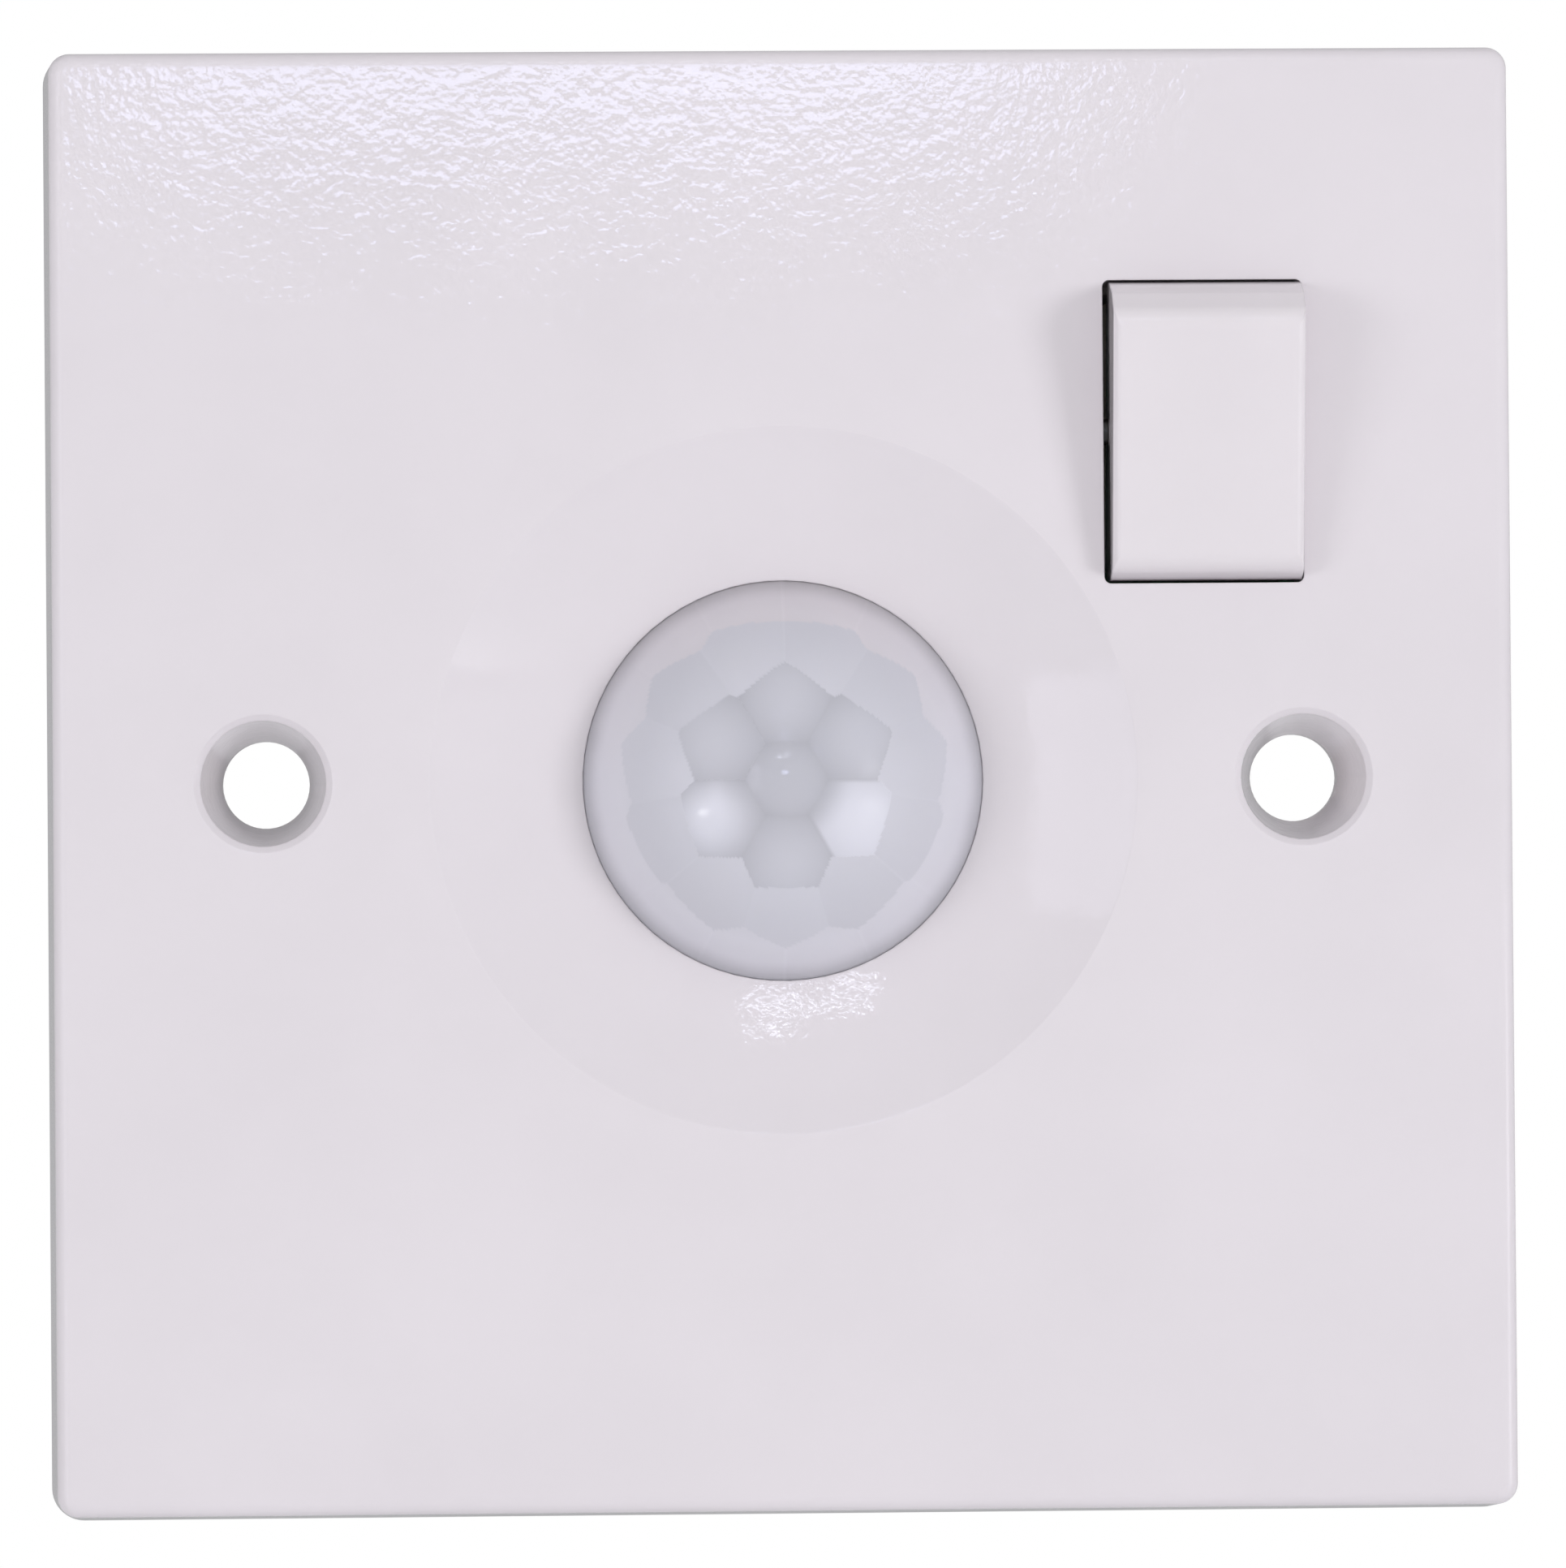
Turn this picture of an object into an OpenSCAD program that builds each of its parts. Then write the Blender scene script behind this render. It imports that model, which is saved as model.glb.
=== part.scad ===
// Wall-plate occupancy switch: a square moulded plate with a faceted infra-red dome in a shallow dish,
// an override rocker, and the sensing, switching and wiring parts behind it.
// Every piece is drawn face up: X across, Y up the wall, Z out of the wall. upright() stands it against the wall.

/* [Wall plate] */
// Width and height of the plate at its rear rim
plate_w = 86; // [84:0.5:104]
// Depth of the plate, from the wall to its front face
plate_d = 8.5; // [8:0.25:11]
// How far each side leans in between the rim and the front face
plate_draft = 0.75; // [0.3:0.05:1.2]
// Thickness of the front face
face_t = 2.2; // [1.8:0.1:2.8]
// Thickness of the side walls at the rim
wall_t = 2.2; // [1.6:0.1:3]
// Radius of the upright corners at the rim
corner_r = 1.9; // [1.8:0.1:4]
// Rounding of the front edge
edge_r = 0.8; // [0.3:0.1:1]

/* [Fixing holes] */
// Distance between the two fixing screws
fixing_pitch = 60.3; // [60:0.1:72]
// Radius of the straight hole at the wall
fixing_r = 2.55; // [2.1:0.05:2.8]
// Length of the straight hole
fixing_len = 1.2; // [0.8:0.1:2]
// Radius of the tapered tunnel at the front
tunnel_r = 3.65; // [3.2:0.05:4.2]
// Radius of the lip round the tunnel's mouth
lip_r = 4.0; // [3.6:0.05:4.6]
// Depth of the lip
lip_d = 0.3; // [0.1:0.05:0.6]
// Wall of the boss round the tunnel
boss_wall = 1.3; // [0.9:0.1:2]

/* [Dish and lens] */
// Radius of the dish's rim
dish_r = 20.5; // [18:0.25:21]
// Depth of the dish at the lens opening
dish_d = 2.8; // [1.5:0.1:3.4]
// Radius of the lens dome where it leaves the plate
lens_r = 11.6; // [9.5:0.05:13.7]
// Gap between the dome and the edge of its opening
lens_gap = 0.05; // [0.05:0.05:0.3]
// Height of the domed part of the lens
dome_rise = 7.15; // [5:0.05:9]
// Thickness of the lens
lens_t = 0.9; // [0.6:0.1:1.2]
// How far the dome starts below the dish's edge
dome_sink = 0.05; // [0:0.05:1]
// Width of the lens flange
flange_w = 1.9; // [1.2:0.1:2.5]
// Thickness of the lens flange
flange_t = 1.2; // [0.8:0.1:1.6]
// Thickness of the plate round the lens opening
ring_t = 1.8; // [1.2:0.1:2.4]
// Thickness of the lens retaining ring
retainer_t = 1.8; // [1.2:0.1:2.4]
// Rim of the retaining ring outside the lens flange
retainer_rim = 1.7; // [1:0.1:2.5]

/* [Rocker] */
// Place of the rocker's centre across the plate
rocker_x = 24.6; // [24:0.05:28]
// Place of the rocker's centre above the middle of the plate
rocker_y = 20.1; // [19.9:0.05:24]
// Width of the rocker's opening
slot_w = 11.6; // [9.7:0.1:12]
// Length of the rocker's opening
slot_l = 17.6; // [14.7:0.1:18]
// Gap at each side of the rocker
side_gap = 0.25; // [0.15:0.05:0.4]
// Gap at each end of the rocker
end_gap = 0.12; // [0.1:0.01:0.3]
// Share of the side gap by which the rocker stands to the right of its opening's middle
side_play = 0.6; // [0:0.05:0.7]
// Share of the end gap by which it stands above its opening's middle
end_play = 0.4; // [0:0.05:0.6]
// Tilt of the rocker at rest, and as much again the other way
rocker_tilt = 10; // [5:0.5:11]
// Depth of the pivot below the plate's front face
pivot_depth = 1.3; // [1.2:0.1:2]
// Height of the rocker's face above its pivot
face_rise = 4.2; // [3:0.1:4.5]
// Length of the sloping nose at each end of the rocker, measured along its face
nose_l = 1.3; // [0.8:0.02:1.6]
// Drop of the sloping nose
nose_drop = 1.8; // [1.2:0.1:2.4]
// Radius of the rocker's two pivot studs
stud_r = 0.75; // [0.6:0.05:0.8]
// Running clearance round the pivot studs
stud_clear = 0.05; // [0.02:0.01:0.1]
// Wall of the hollow rocker
rocker_wall = 1.4; // [1:0.1:1.8]

/* [Circuit boards] */
// Thickness of the boards
board_t = 1.6; // [1:0.1:2]
// Space between the retaining ring and the sensor board
board_gap = 3.9; // [3.7:0.1:5]
// Space between the two boards
board_space = 10.4; // [10:0.1:13]
// Space behind the power board
rear_space = 5.8; // [5.4:0.1:8]

/* [Rear case] */
// Width of the case that goes into the wall box
case_w = 68; // [68:0.5:70]
// Height of the case
case_l = 60; // [60:0.5:62]
// Wall of the case
case_t = 1.6; // [1.2:0.1:1.8]
// Half the width left for the case between the wall box's screw lugs
lug_x = 23.5; // [23.2:0.1:24]
// Half the height of the room left for each screw lug
lug_y = 9.5; // [8:0.1:9.6]
// Height of the case's front rim in front of the wall
rim_h = 1.8; // [1.5:0.1:2]

/* [Terminals] */
// Distance between terminals
terminal_pitch = 10; // [9:0.25:10.5]
// Radius of the wire hole in a terminal
wire_r = 1.7; // [1.3:0.05:2]
// Radius of the terminal screws
clamp_screw_r = 1.4; // [1.2:0.05:1.5]

/* [Hidden] */
$fn = 64;

// Overlap that joins the parts of one solid, and the overrun of a cut past a face
bond = 0.1;
over = 1;
// Sliding gap between neighbouring pieces, and the gap round a screw in its hole
fit = 0.1;
screw_clear = 0.05;

// Levels up from the wall
front_z = plate_d;
under_z = front_z - face_t;
dish_z = front_z - dish_d;
seat_z = dish_z - ring_t;
flange_z = seat_z - flange_t;
retainer_z = flange_z - retainer_t;
board_z = retainer_z - board_gap;
board_under_z = board_z - board_t;
power_z = board_under_z - board_space;
power_under_z = power_z - board_t;
floor_z = power_under_z - rear_space;
case_z = floor_z - case_t;

// Plate
draft_angle = atan(plate_draft / plate_d);
flat_half = plate_w / 2 - corner_r;
boss_r = lip_r + boss_wall;
opening_r = lens_r + lens_gap;
dish_sphere_z = (dish_r ^ 2 - opening_r ^ 2 + front_z ^ 2 - dish_z ^ 2) / (2 * (front_z - dish_z));
dish_sphere_r = norm([dish_r, dish_sphere_z - front_z]);
dish_skirt = 2;

// Lens
dome_z = dish_z - dome_sink;
dome_r = (lens_r ^ 2 + dome_rise ^ 2) / (2 * dome_rise);
dome_centre_z = dome_z + dome_rise - dome_r;
flange_r = lens_r + flange_w;
retainer_r = flange_r + retainer_rim;
retainer_bore_r = lens_r - lens_t;
ear_r = 2.4;
retainer_screw_at = retainer_r + ear_r - 0.9;
retainer_angles = [90, 210, 330];
small_screw_r = 0.9;
small_head_r = 1.7;
small_head_t = 1.1;
retainer_screw_len = 3.4;

// Rocker, drawn about its pivot with its face level
pivot_z = front_z - pivot_depth;
rocker_w = slot_w - 2 * side_gap;
end_r = slot_l / 2 - end_gap;
skirt_z = -2.4;
nose_y = sqrt(end_r ^ 2 - (face_rise - nose_drop) ^ 2);
crest_y = end_r - nose_l;
crest_r = 1.3;
side_round_r = 0.45;
stud_reach = 0.75;
stud_hole = 0.95;
stem_r = 1.9;
stem_z = -4.4;
stem_bore_r = 1.15;
stem_bore_z = 1.6;
roof_z = face_rise - rocker_wall;
slot_x = rocker_x - side_gap * side_play;
slot_y = rocker_y - end_gap * end_play;
collar_t = 1.3;
collar_z = pivot_z - 5;

// Switch under the rocker
bridge_depth = 7.5;
bridge_z = pivot_z - bridge_depth;
bridge_t = 0.5;
bridge_w = 4;
bridge_half = 5.9;
bridge_pad_y = 5.1;
bridge_pad_r = 0.9;
bridge_pad_t = 0.3;
bridge_tilt = -8;
bridge_axle_r = 0.35;
tip_r = 0.8;
tip_depth = bridge_depth - bridge_t - tip_r - fit;
plunger_r = stem_bore_r - 0.05;
plunger_top_z = -2.6;
spring_wire_r = 0.14;
spring_turns = 5;
switch_w = slot_w - 0.2;
switch_l = 15.6;
switch_t = 1;
switch_floor_t = 0.8;
switch_top_z = collar_z - 0.2;
contact_top_z = bridge_z - (bridge_half - 0.4) * sin(-bridge_tilt) - bridge_pad_t - 0.15;

// Screw posts
post_r = 2.6;
post_screw_r = 1.1;
post_screw_len = 6;
post_head_r = 2.1;
post_head_t = 1.2;
board_posts = [[-24, 24], [-24, -24], [24, -24], [9.5, 24.5]];
pillar_r = 2.3;
pillars = [[-27.5, 23], [27.5, 23], [-28.5, -14], [28.5, -14]];
pillar_screw_r = 1;
pillar_screw_len = 5;
ear_x = 20;
case_ear_r = 2.8;
ear_y = case_l / 2 + case_ear_r + 0.1;
case_head_r = 2.1;
case_head_t = 1.2;
case_screw_r = 1;
case_screw_len = 4.2;

// Boards
board_edge = case_t + 0.5;
power_edge_y = -16.5;

// Infra-red sensor and light sensor
spacer_r = 4.4;
spacer_t = 1.8;
can_flange_r = 4.6;
can_flange_t = 0.5;
can_r = 4.1;
can_h = 4.2;
can_wall = 0.25;
window_w = 4.6;
window_l = 3.4;
window_t = 0.5;
lead_r = 0.23;
lead_circle_r = 2.54;
lead_tail = 1;
light_sensor_y = -7.7;
light_sensor_r = 2.2;
light_sensor_t = 2.2;

// Link between the boards
header_x = 19.6;
header_w = 2.5;
header_pitch = 2.54;
header_ways = 6;
pin_w = 0.64;

// Trimmers, on the back of the power board and reached through the case
trimmer_y = 18;
trimmer_x = 9;
trimmer_w = 8;
trimmer_t = 4;
rotor_r = 2.8;
rotor_gap = 0.3;
rotor_bore_r = 1.6;
rotor_pin_r = rotor_bore_r - 0.05;
rotor_pin_len = 2.2;
cross_w = 0.8;
cross_l = 4;
cross_d = 1.2;

// Terminals
block_w = 3 * terminal_pitch + 2;
block_y = -case_l / 2 + case_t + 0.5;
block_l = 10;
block_top_z = power_z + 6;
block_rear_z = floor_z + fit;
clamp_w = 7;
clamp_l = 7.4;
clamp_y = block_y + 0.3;
clamp_h = 8;
clamp_z = power_z - 3.2;
wire_z = clamp_z + clamp_h - 2.6;
tag_w = 2;
tag_t = 0.6;
tag_reach = 5.6;
wire_end_l = 1.2;
wire_end_r = wire_r + 0.2;
clamp_head_r = 2.2;
clamp_head_t = 2;
clamp_head_z = floor_z + 0.4;
access_r = clamp_head_r + 0.25;
driver_slot = 0.6;
window_h = 5;
terminals = [-terminal_pitch, 0, terminal_pitch];

module upright() rotate([90, 0, 0]) children();

module at_height(z) translate([0, 0, z]) children();

// Slab between two levels with the outline of the children
module slab(bottom, top) at_height(bottom) linear_extrude(top - bottom) children();

module rounded_rect(w, l, r) {
    square([w - 2 * r, l], center = true);
    square([w, l - 2 * r], center = true);
    for (x = [-1, 1], y = [-1, 1]) translate([x * (w / 2 - r), y * (l / 2 - r)]) circle(r = r);
}

// Outline of the case and boards, which leaves room for the wall box's lugs at both sides
module case_outline(inset) {
    w = case_w / 2 - inset;
    l = case_l / 2 - inset;
    nx = lug_x - inset;
    ny = lug_y + inset;
    for (s = [-1, 1]) translate([0, s * (l + ny) / 2]) square([2 * w, l - ny], center = true);
    square([2 * nx, 2 * ny + 2 * bond], center = true);
}

// Pan-headed screw along Z: the head lies below its seat and the shank runs up
module screw(r, len, head_r, head_t) {
    difference() {
        at_height(-head_t) cylinder(h = head_t, r = head_r);
        at_height(-head_t + 0.35) cube([2 * head_r * 0.62, 0.5, 2 * 0.7], center = true);
        at_height(-head_t + 0.35) cube([0.5, 2 * head_r * 0.62, 2 * 0.7], center = true);
    }
    slab(-bond, len - r) circle(r = r);
    at_height(len - r) cylinder(h = r, r1 = r, r2 = r * 0.3);
}

// Two-legged part along Y, such as a resistor or a diode, above a board
module axial(body_r, body_l, leg_r, leg_span, lift) {
    at_height(lift) {
        rotate([90, 0, 0]) cylinder(h = body_l, r = body_r, center = true);
        rotate([90, 0, 0]) cylinder(h = leg_span, r = leg_r, center = true);
    }
    for (s = [-1, 1]) translate([0, s * (leg_span / 2 - leg_r), 0]) cylinder(h = lift, r = leg_r);
}

// ---- Front plate ----

// One side of the plate in section: w wide at the rim, leaning in, with its front edge rounded
module side_section(w) {
    cy = plate_d - edge_r;
    cx = w - (edge_r + cy * sin(draft_angle)) / cos(draft_angle);
    polygon([
        [0, 0], [w, 0],
        [cx + edge_r * cos(draft_angle), cy + edge_r * sin(draft_angle)],
        [cx, plate_d], [0, plate_d]
    ]);
    translate([cx, cy]) intersection() {
        circle(r = edge_r);
        square(edge_r + over);
    }
}

module plate_block() {
    at_height(plate_d / 2) cube([2 * flat_half, 2 * flat_half, plate_d], center = true);
    for (a = [0:90:270]) rotate(a) translate([flat_half, flat_half, 0]) {
        rotate([90, 0, 0]) linear_extrude(2 * flat_half) side_section(corner_r);
        rotate_extrude(angle = 90) side_section(corner_r);
    }
}

module fixing_tunnel() {
    at_height(-over) cylinder(h = fixing_len + 2 * over, r = fixing_r);
    at_height(fixing_len) cylinder(h = front_z - lip_d - fixing_len, r1 = fixing_r, r2 = tunnel_r);
    at_height(front_z - lip_d) cylinder(h = lip_d, r1 = tunnel_r, r2 = lip_r);
    at_height(front_z) cylinder(h = over, r = lip_r);
}

// Web that carries the dish behind the face
module dish_web() {
    rotate_extrude() polygon([
        [0, seat_z], [flange_r + dish_skirt, seat_z],
        [dish_r + dish_skirt, under_z], [dish_r + dish_skirt, under_z + bond], [0, under_z + bond]
    ]);
}

module plate_posts() {
    for (p = board_posts) translate(p) slab(board_z, under_z + bond) circle(r = post_r);
    for (x = [-ear_x, ear_x], y = [-ear_y, ear_y])
        translate([x, y]) slab(rim_h, under_z + bond) circle(r = case_ear_r - 0.1);
    for (a = retainer_angles) rotate(a) translate([retainer_screw_at, 0])
        slab(flange_z, under_z) circle(r = ear_r);
}

module plate_post_holes() {
    for (p = board_posts) translate(p)
        slab(board_z - over, board_z + post_screw_len) circle(r = post_screw_r + screw_clear);
    for (x = [-ear_x, ear_x], y = [-ear_y, ear_y])
        translate([x, y]) slab(rim_h - over, rim_h + case_screw_len) circle(r = case_screw_r + screw_clear);
    for (a = retainer_angles) rotate(a) translate([retainer_screw_at, 0])
        slab(flange_z - over, flange_z + retainer_screw_len - retainer_t + fit)
            circle(r = small_screw_r + screw_clear);
}

module front_plate() {
    inner = plate_w - 2 * wall_t;
    color("whitesmoke") upright() difference() {
        union() {
            difference() {
                plate_block();
                slab(-over, under_z) square(inner, center = true);
            }
            for (s = [-1, 1]) translate([s * fixing_pitch / 2, 0]) slab(0, under_z + bond) circle(r = boss_r);
            dish_web();
            translate([slot_x, slot_y]) slab(collar_z, under_z + bond)
                rounded_rect(slot_w + 2 * collar_t, slot_l + 2 * collar_t, 1);
            plate_posts();
        }
        for (s = [-1, 1]) translate([s * fixing_pitch / 2, 0]) fixing_tunnel();
        at_height(dish_sphere_z) sphere(r = dish_sphere_r);
        slab(seat_z - over, front_z) circle(r = opening_r);
        translate([slot_x, slot_y]) slab(collar_z - over, front_z + over) rounded_rect(slot_w, slot_l, 0.4);
        translate([rocker_x, rocker_y, pivot_z]) rotate([0, 90, 0])
            cylinder(h = slot_w + 2 * stud_hole, r = stud_r + stud_clear, center = true);
        plate_post_holes();
    }
}

// ---- Lens ----

module lens_dome() {
    color("lightsteelblue", 0.8) upright() difference() {
        union() {
            slab(flange_z, seat_z) circle(r = flange_r);
            slab(flange_z, dome_z) circle(r = lens_r);
            intersection() {
                at_height(dome_centre_z) sphere(r = dome_r);
                slab(dome_z, dome_z + dome_rise + over) circle(r = lens_r + over);
            }
        }
        intersection() {
            at_height(dome_centre_z) sphere(r = dome_r - lens_t);
            slab(dome_z - over, dome_z + dome_rise) circle(r = retainer_bore_r);
        }
        slab(flange_z - over, dome_z - 0.2) circle(r = retainer_bore_r);
    }
}

module lens_retainer() {
    color("dimgray") upright() difference() {
        slab(retainer_z, flange_z) {
            circle(r = retainer_r);
            for (a = retainer_angles) rotate(a) {
                translate([retainer_screw_at, 0]) circle(r = ear_r);
                translate([retainer_screw_at / 2, 0]) square([retainer_screw_at, 2 * ear_r], center = true);
            }
        }
        slab(retainer_z - over, flange_z + over) {
            circle(r = retainer_bore_r);
            for (a = retainer_angles) rotate(a) translate([retainer_screw_at, 0]) circle(r = small_screw_r + screw_clear);
        }
    }
}

module retainer_screws() {
    color("silver") upright() for (a = retainer_angles) rotate(a)
        translate([retainer_screw_at, 0, retainer_z]) screw(small_screw_r, retainer_screw_len, small_head_r, small_head_t);
}

// ---- Rocker and the switch under it ----

// Puts the children at the rocker's pivot, tilted as at rest
module on_pivot() upright() translate([rocker_x, rocker_y, pivot_z]) rotate([rocker_tilt, 0, 0]) children();

// Solid across the rocker with the outline of the children, drawn as length against height
module across(w) translate([-w / 2, 0, 0]) rotate([90, 0, 90]) linear_extrude(w) children();

// Side of the rocker: a level face, a sloping nose and an arc about the pivot at each end
module rocker_side() {
    slope = atan(nose_drop / (nose_y - crest_y));
    round_y = crest_y - crest_r * tan(slope / 2);
    wide = end_r + over;
    wide_z = face_rise - (wide - crest_y) * tan(slope);
    intersection() {
        circle(r = end_r);
        union() {
            polygon([
                [-wide, skirt_z], [wide, skirt_z], [wide, wide_z],
                [round_y + crest_r * sin(slope), face_rise - crest_r * (1 - cos(slope))],
                [round_y, face_rise], [-round_y, face_rise],
                [-round_y - crest_r * sin(slope), face_rise - crest_r * (1 - cos(slope))],
                [-wide, wide_z]
            ]);
            for (s = [-1, 1]) translate([s * round_y, face_rise - crest_r]) circle(r = crest_r);
        }
    }
}

// Section across the rocker, with its long face edges rounded
module rocker_cross() {
    flat = rocker_w - 2 * side_round_r;
    translate([-rocker_w / 2, skirt_z - over]) square([rocker_w, face_rise - skirt_z + over - side_round_r]);
    translate([-flat / 2, skirt_z]) square([flat, face_rise - skirt_z]);
    for (s = [-1, 1]) translate([s * flat / 2, face_rise - side_round_r]) circle(r = side_round_r);
}

module rocker() {
    stud_span = slot_w + 2 * stud_reach;
    pocket_l = 2 * (end_r - rocker_wall);
    color("white") on_pivot() difference() {
        union() {
            difference() {
                intersection() {
                    across(rocker_w) rocker_side();
                    translate([0, end_r, 0]) rotate([90, 0, 0]) linear_extrude(2 * end_r) rocker_cross();
                }
                slab(skirt_z - over, roof_z) square([rocker_w - 2 * rocker_wall, pocket_l], center = true);
            }
            slab(stem_z, roof_z + bond) circle(r = stem_r);
            for (s = [-1, 1]) translate([s * (stud_span / 2 + rocker_w / 2 - rocker_wall) / 2, 0, 0])
                rotate([0, 90, 0]) cylinder(
                    h = stud_span / 2 - rocker_w / 2 + rocker_wall, r = stud_r, center = true
                );
        }
        slab(stem_z - over, stem_bore_z) circle(r = stem_bore_r);
    }
}

module rocker_plunger() {
    color("ivory") on_pivot() {
        slab(-tip_depth, plunger_top_z) circle(r = tip_r);
        slab(stem_z + 0.2, plunger_top_z) circle(r = plunger_r);
        at_height(-tip_depth) sphere(r = tip_r);
    }
}

// Helical spring along Z: rings of a round wire joined in order
module coil(r, wire, length, turns) {
    sides = 8;
    steps = 14 * turns;
    function ring_point(i, j) =
        let (a = 360 * turns * i / steps, b = 360 * j / sides, d = r + wire * cos(b))
        [d * cos(a), d * sin(a), length * i / steps + wire * sin(b)];
    points = [for (i = [0:steps], j = [0:sides - 1]) ring_point(i, j)];
    walls = [for (i = [0:steps - 1], j = [0:sides - 1]) let (k = (j + 1) % sides)
        [i * sides + j, (i + 1) * sides + j, (i + 1) * sides + k, i * sides + k]];
    ends = [[for (j = [0:sides - 1]) j], [for (j = [sides - 1:-1:0]) steps * sides + j]];
    polyhedron(points = points, faces = concat(walls, ends), convexity = 6);
}

module plunger_spring() {
    start = plunger_top_z + spring_wire_r + 0.02;
    length = stem_bore_z - spring_wire_r - 0.02 - start;
    color("silver") on_pivot() at_height(start)
        coil(stem_bore_r - spring_wire_r - 0.08, spring_wire_r, length, spring_turns);
}

module switch_housing() {
    color("ghostwhite") upright() translate([rocker_x, rocker_y]) difference() {
        slab(board_z, switch_top_z) rounded_rect(switch_w, switch_l, 0.5);
        slab(board_z + switch_floor_t, switch_top_z + over)
            rounded_rect(switch_w - 2 * switch_t, switch_l - 2 * switch_t, 0.5);
    }
}

// Silver-faced studs that the bridge touches at each end of its travel
module fixed_contacts() {
    floor_top = board_z + switch_floor_t;
    color("goldenrod") upright() for (s = [-1, 1]) translate([rocker_x, rocker_y + s * bridge_pad_y]) {
        slab(floor_top, floor_top + 0.3) square([bridge_w, 2.4], center = true);
        slab(floor_top, contact_top_z) circle(r = bridge_pad_r);
    }
}

// Forked common contact that carries the bridge on its axle
module contact_cradle() {
    floor_top = board_z + switch_floor_t;
    cheek_x = bridge_w / 2 + 0.15;
    cheek_t = 0.5;
    color("goldenrod") upright() translate([rocker_x, rocker_y]) difference() {
        union() {
            slab(floor_top, floor_top + 0.3) square([2 * (cheek_x + cheek_t), 3], center = true);
            for (s = [-1, 1]) translate([s * (cheek_x + cheek_t / 2), 0])
                slab(floor_top, bridge_z + 0.9) square([cheek_t, 2.4], center = true);
        }
        at_height(bridge_z) rotate([0, 90, 0]) cylinder(h = 2 * (cheek_x + cheek_t + over), r = bridge_axle_r + 0.04, center = true);
    }
}

module contact_bridge() {
    axle_l = bridge_w + 1.4;
    color("gold") upright() translate([rocker_x, rocker_y, bridge_z]) rotate([bridge_tilt, 0, 0]) {
        slab(0, bridge_t) square([bridge_w, 2 * bridge_half], center = true);
        rotate([0, 90, 0]) cylinder(h = axle_l, r = bridge_axle_r, center = true);
        for (s = [-1, 1]) translate([0, s * bridge_pad_y]) slab(-bridge_pad_t, bond) circle(r = bridge_pad_r);
    }
}

// ---- Sensor board and what stands on it ----

module sensor_board() {
    color("seagreen") upright() difference() {
        slab(board_under_z, board_z) case_outline(board_edge);
        slab(board_under_z - over, board_z + over) {
            for (p = board_posts) translate(p) circle(r = post_screw_r + 0.15);
            for (a = [0, 90, 180]) rotate(a) translate([lead_circle_r, 0]) circle(r = lead_r + 0.1);
            for (i = [0:header_ways - 1]) translate([header_x, (i - (header_ways - 1) / 2) * header_pitch])
                circle(r = pin_w * 0.75);
        }
    }
}

module sensor_board_screws() {
    color("silver") upright() for (p = board_posts) translate([p[0], p[1], board_under_z])
        screw(post_screw_r, board_t + post_screw_len - 0.5, post_head_r, post_head_t);
}

module pyro_spacer() {
    color("dimgray") upright() difference() {
        slab(board_z, board_z + spacer_t) circle(r = spacer_r);
        slab(board_z - over, board_z + spacer_t + over)
            for (a = [0, 90, 180]) rotate(a) translate([lead_circle_r, 0]) circle(r = lead_r + 0.05);
    }
}

module pyro_can() {
    base = board_z + spacer_t;
    color("silver") upright() difference() {
        union() {
            slab(base, base + can_flange_t) circle(r = can_flange_r);
            slab(base, base + can_h) circle(r = can_r);
        }
        slab(base + can_h - window_t, base + can_h + over) square([window_w, window_l], center = true);
        slab(base + can_flange_t, base + can_h - window_t - can_wall) circle(r = can_r - can_wall);
        slab(base - over, base + can_flange_t - 0.1) for (a = [0, 90, 180]) rotate(a)
            translate([lead_circle_r, 0]) circle(r = lead_r + 0.01);
    }
}

module pyro_window() {
    top = board_z + spacer_t + can_h;
    color("dimgray") upright() slab(top - window_t, top - 0.1)
        square([window_w - 0.02, window_l - 0.02], center = true);
}

module pyro_leads() {
    color("silver") upright() for (a = [0, 90, 180]) rotate(a) translate([lead_circle_r, 0])
        slab(board_under_z - lead_tail, board_z + spacer_t + can_flange_t - 0.1) circle(r = lead_r);
}

module light_sensor() {
    color("tan") upright() translate([0, light_sensor_y]) {
        slab(board_z, board_z + light_sensor_t) circle(r = light_sensor_r);
        for (y = [-1.2, 0, 1.2]) translate([0, y]) slab(board_z + light_sensor_t - bond, board_z + light_sensor_t + 0.15)
            square([2.6, 0.5], center = true);
    }
}

module controller_chip() {
    body_w = 9.9;
    body_l = 3.9;
    lead_pitch = 1.27;
    color("dimgray") upright() translate([-10, -20.5]) {
        slab(board_z + 0.15, board_z + 1.6) square([body_w, body_l], center = true);
        for (i = [0:6], s = [-1, 1]) translate([(i - 3) * lead_pitch, s * (body_l / 2 + 0.5)])
            slab(board_z, board_z + 0.6) square([0.4, 1.2], center = true);
    }
}

// ---- Link between the boards ----

module header_block() {
    length = header_ways * header_pitch;
    color("dimgray") upright() translate([header_x, 0]) difference() {
        slab(power_z, board_under_z) square([header_w, length], center = true);
        for (i = [0:header_ways - 1]) translate([0, (i - (header_ways - 1) / 2) * header_pitch])
            slab(power_z - over, board_under_z + over) square(pin_w + 0.04, center = true);
    }
}

module header_pins() {
    color("gold") upright() for (i = [0:header_ways - 1])
        translate([header_x, (i - (header_ways - 1) / 2) * header_pitch])
            slab(power_under_z - lead_tail, board_z + lead_tail) square(pin_w, center = true);
}

// ---- Power board and what stands on it ----

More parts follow.
